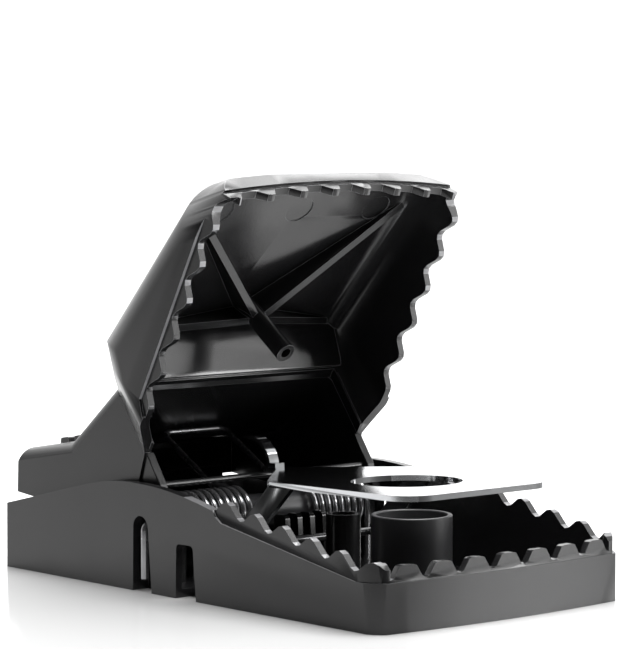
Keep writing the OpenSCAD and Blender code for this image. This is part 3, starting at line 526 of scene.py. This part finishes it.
def coil_path(metal, side):
    """Leg up from the floor, curls inwards, and the straight end off the top."""
    radius, pitch = metal.spring_radius, metal.spring_pitch
    turns = metal.spring_turns + END_TURN
    outer = metal.spring_inner_x + turns * pitch
    path = [Vector((side * outer, HINGE.y - radius, COIL_FOOT))]
    for i in range(int(turns * CURL_STEPS) + 1):
        angle = math.pi - math.tau * i / CURL_STEPS
        path.append(Vector((side * (outer - pitch * i / CURL_STEPS),
                            HINGE.y + radius * math.cos(angle),
                            HINGE.z + radius * math.sin(angle))))
    path.append(Vector((side * metal.spring_inner_x, HINGE.y + COIL_REACH, HINGE.z + radius)))
    return path


def finish_piece(obj, body, slot, *nodes):
    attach(obj, body)
    if nodes:
        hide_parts(*nodes)


# ---------- pieces ----------

class TRAP_OT_tray(bpy.types.Operator):
    """Moulded tray with its toothed rim, slots, cheeks and posts"""
    bl_idname = "trap.tray"
    bl_label = "Tray"

    def execute(self, context):
        settings = context.scene.trap_moulding
        # The tray's rounded edges and side crests get the lighter plastic: partly wear, partly painted
        # highlight
        tray = moulded_copy(settings, "base_tray", "tray", highlight_finish="trap_plastic_rubbed")
        rub_and_highlight_side_crests(tray.data, settings, (0, 0, 1), TRAY_CREST_FACING)
        finish_piece(tray, "tray", "black_plastic", "base_tray")
        return {"FINISHED"}


class TRAP_OT_jaw(bpy.types.Operator):
    """Upper jaw: toothed hood with its ribs and hollow post"""
    bl_idname = "trap.jaw"
    bl_label = "Upper jaw"

    def execute(self, context):
        settings = context.scene.trap_moulding
        # The jaw's rounded edges and tooth ends get the lighter plastic: partly wear, partly painted
        # highlight
        jaw = moulded_copy(settings, "upper_jaw", "jaw", highlight_finish="trap_plastic_worn")
        crest = (0, -math.sin(settings.open_angle), -math.cos(settings.open_angle))
        rub_and_highlight_side_crests(jaw.data, settings, crest, JAW_CREST_FACING)
        finish_piece(jaw, "jaw", "black_plastic", "upper_jaw")
        return {"FINISHED"}


class TRAP_OT_lever(bpy.types.Operator):
    """Setting lever with its grip ridges, the two arms and the latch bar"""
    bl_idname = "trap.lever"
    bl_label = "Setting lever"

    def execute(self, context):
        settings = context.scene.trap_moulding
        # The lever's rounded edges get the lighter plastic: partly wear, partly painted highlight
        lever = moulded_copy(settings, "setting_lever", "lever", highlight_finish="trap_plastic_rubbed")
        finish_piece(lever, "jaw", "black_plastic", "setting_lever")
        for node, name in (("jaw_arm_left", "arm_left"), ("jaw_arm_right", "arm_right"),
                           ("latch_bar", "latch")):
            piece = moulded_copy(settings, node, name, SMALL_EDGE)
            finish_piece(piece, "jaw", "black_plastic", node)
        return {"FINISHED"}


class TRAP_OT_springs(bpy.types.Operator):
    """Both coils with their legs, and the bail that joins them"""
    bl_idname = "trap.springs"
    bl_label = "Springs"

    def execute(self, context):
        metal = context.scene.trap_metal
        for side, name in ((1, "right"), (-1, "left")):
            coil = wire("coil_" + name, coil_path(metal, side), metal.spring_wire, "spring_wire")
            finish_piece(coil, "tray", "spring_steel", "spring_coil_" + name)
        _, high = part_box("spring_bail")
        half = metal.spring_wire / 2
        start = Vector((high[0] - half, HINGE.y + BAIL_START, HINGE.z + metal.spring_radius))
        rear = Vector((high[0] - half, high[1] - half, high[2] - half))
        mirrored = Vector((-1, 1, 1))
        corners = [start, rear, rear * mirrored, start * mirrored]
        # The bail's wire is darkened as painted shade
        bail = wire("bail", rounded_path(corners, BAIL_BEND), metal.spring_wire, "oiled_wire")
        finish_piece(bail, "jaw", "spring_steel", "spring_bail")
        return {"FINISHED"}


class TRAP_OT_axles(bpy.types.Operator):
    """Hinge axle with its bent legs, and the trigger axle"""
    bl_idname = "trap.axles"
    bl_label = "Axles"

    def execute(self, context):
        diameter = context.scene.trap_metal.axle_wire
        low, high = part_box("hinge_axle")
        leg_x = high[0] - diameter / 2
        corners = [(-leg_x, HINGE.y, low[2]), (-leg_x, HINGE.y, HINGE.z),
                   (leg_x, HINGE.y, HINGE.z), (leg_x, HINGE.y, low[2])]
        path = rounded_path(corners, AXLE_BEND)
        hinge = wire("hinge_axle_wire", path, diameter, "axle_wire", AXLE_SIDES)
        finish_piece(hinge, "tray", "wire_steel", "hinge_axle")
        low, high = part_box("trigger_axle")
        middle = [(low[i] + high[i]) / 2 for i in range(3)]
        ends = [(low[0], middle[1], middle[2]), (high[0], middle[1], middle[2])]
        # The trigger axle's wire is darkened as painted shade
        axle = wire("trigger_axle_wire", ends, diameter, "oiled_wire", AXLE_SIDES)
        finish_piece(axle, "tray", "wire_steel", "trigger_axle")
        return {"FINISHED"}


class TRAP_OT_trigger(bpy.types.Operator):
    """Trigger plate with its ears, and the curled catch; sheared ends are dull, and the ears are darkened
    as painted shade
    """
    bl_idname = "trap.trigger"
    bl_label = "Trigger"

    def execute(self, context):
        metal = context.scene.trap_metal
        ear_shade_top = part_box("trigger_axle")[1][2] + metal.ear_shade_height
        for node, name in (("trigger_plate", "plate"), ("catch_hook", "catch")):
            piece = softened_copy(node, name, "plate_steel", metal.plate_edge, STEEL_SOFTEN_ANGLE)
            piece.data.materials.append(bpy.data.materials["sheared_steel"])
            # Sheared ends get the duller steel; the ears low under the plate get it as painted shade
            for face in piece.data.polygons:
                if abs(face.normal.y) > SHEARED_FACING or face.center.z < ear_shade_top:
                    face.material_index = 1
            finish_piece(piece, "trigger", "plate_steel", node)
        return {"FINISHED"}


class TRAP_OT_cup(bpy.types.Operator):
    """Bait cup and the sleeve inside the coils"""
    bl_idname = "trap.cup"
    bl_label = "Bait cup"

    def execute(self, context):
        radius = context.scene.trap_moulding.edge_radius * CUP_EDGE
        cup = softened_copy("bait_cup", "cup", "cup_plastic", radius, CUP_SOFTEN_ANGLE, CUP_SEGMENTS)
        finish_piece(cup, "cup", "soft_black", "bait_cup")
        sleeve = softened_copy("spring_sleeve", "sleeve", "cup_plastic", radius, CUP_SOFTEN_ANGLE)
        finish_piece(sleeve, "tray", "soft_black", "spring_sleeve")
        return {"FINISHED"}


class TRAP_OT_stage(bpy.types.Operator):
    """Pale floor and backdrop, soft lights and the camera"""
    bl_idname = "trap.stage"
    bl_label = "Stage"

    def execute(self, context):
        settings = context.scene.trap_stage
        self.make_floor(settings)
        self.make_world(context.scene, settings)
        for name, place, aim, size, power in LIGHTS:
            self.add_area(name, place, aim, size, getattr(settings, power))
        self.make_camera(context.scene, settings)
        return {"FINISHED"}

    def make_floor(self, settings):
        """Floor with painted shade that darkens it near the camera, pale under the trap and white far
        behind it.
        """
        _, tree, shader = clear_material("stage_white")
        glossed(tree, noise_on_object(tree, *FLOOR_NOISE), FLOOR_ROUGHNESS, shader)
        shader.inputs["Specular IOR Level"].default_value = settings.floor_gloss
        reach = (settings.floor_end + FADE_BEFORE_END, settings.floor_end + FADE_PAST_END)
        fade = map_range(tree, along_heading(tree, "Object", settings.camera_yaw), reach, (0, 1))
        # The ramp begins with painted shade on the floor near the camera
        stops = [(0, FADE_PAINTED_SHADE), (FADE_FLOOR_FROM, settings.floor_color),
                 (FADE_FLOOR_TO, settings.floor_color), (1, FADE_FAR)]
        color_ramp(tree, fade, stops, shader.inputs["Base Color"])
        data = bmesh.new()
        corners = [data.verts.new((x * FLOOR_REACH, y * FLOOR_REACH, FLOOR_HEIGHT))
                   for x, y in ((-1, -1), (1, -1), (1, 1), (-1, 1))]
        data.faces.new(corners)
        floor = object_from_bmesh("stage_floor", data, "stage_white")

    def add_area(self, name, place, aim, size, power):
        light = bpy.data.lights.new(name, "AREA")
        light.shape = "RECTANGLE"
        light.size, light.size_y = size
        light.energy = power
        obj = bpy.data.objects.new(name, light)
        bpy.context.scene.collection.objects.link(obj)
        obj.location = place
        obj.rotation_euler = (Vector(aim) - Vector(place)).to_track_quat("-Z", "Y").to_euler()

    def make_world(self, scene, settings):
        """White studio sweep that falls off to a dark room behind the camera."""
        world = bpy.data.worlds.new("stage_world")
        world.use_nodes = True
        tree = world.node_tree
        background = tree.nodes["Background"]
        facing = along_heading(tree, "Generated", settings.camera_yaw, SWEEP_RISE)
        light = (settings.room_light, settings.sweep_light)
        sweep = map_range(tree, facing, SWEEP_RANGE, light, "SMOOTHSTEP")
        tree.links.new(sweep, background.inputs["Strength"])
        background.inputs["Color"].default_value = (1, 1, 1, 1)
        scene.world = world

    def make_camera(self, scene, settings):
        camera = bpy.data.cameras.new("camera")
        camera.lens = settings.camera_lens
        camera.sensor_width = SENSOR_WIDTH
        camera.clip_start, camera.clip_end = CLIP_RANGE
        obj = bpy.data.objects.new("camera", camera)
        scene.collection.objects.link(obj)
        yaw, pitch = settings.camera_yaw, settings.camera_pitch
        ahead = Vector((math.sin(yaw) * math.cos(pitch), math.cos(yaw) * math.cos(pitch),
                        math.sin(pitch)))
        right = Vector((math.cos(yaw), -math.sin(yaw), 0))
        up = right.cross(ahead)
        turn = Matrix((right, up, -ahead)).transposed()
        obj.matrix_world = Matrix.Translation(settings.camera_place) @ turn.to_4x4()
        scene.camera = obj
        scene.view_settings.view_transform = "Standard"


# ---------- panel and registration ----------

STEPS = ("tray", "jaw", "lever", "springs", "axles", "trigger", "cup", "stage")


class TRAP_PT_panel(bpy.types.Panel):
    bl_label = "Snap mouse trap"
    bl_idname = "TRAP_PT_panel"
    bl_space_type = "VIEW_3D"
    bl_region_type = "UI"
    bl_category = "Trap"

    def draw(self, context):
        for group in GROUPS:
            settings = getattr(context.scene, group)
            box = self.layout.box()
            for prop in settings.bl_rna.properties:
                if prop.identifier not in {"rna_type", "name"}:
                    box.prop(settings, prop.identifier)
        for step in STEPS:
            self.layout.operator("trap." + step)


CLASSES = (
    TrapMouldingSettings, TrapMetalSettings, TrapStageSettings, TRAP_OT_tray, TRAP_OT_jaw,
    TRAP_OT_lever, TRAP_OT_springs, TRAP_OT_axles, TRAP_OT_trigger, TRAP_OT_cup, TRAP_OT_stage,
    TRAP_PT_panel,
)
GROUPS = {"trap_moulding": TrapMouldingSettings, "trap_metal": TrapMetalSettings,
          "trap_stage": TrapStageSettings}


def register():
    for cls in CLASSES:
        bpy.utils.register_class(cls)
    for name, group in GROUPS.items():
        setattr(bpy.types.Scene, name, bpy.props.PointerProperty(type=group))


def unregister():
    for name in GROUPS:
        delattr(bpy.types.Scene, name)
    for cls in reversed(CLASSES):
        bpy.utils.unregister_class(cls)


def main():
    register()
    make_materials(bpy.context.scene)
    for step in STEPS:
        getattr(bpy.ops.trap, step)()


if __name__ == "__main__":
    main()
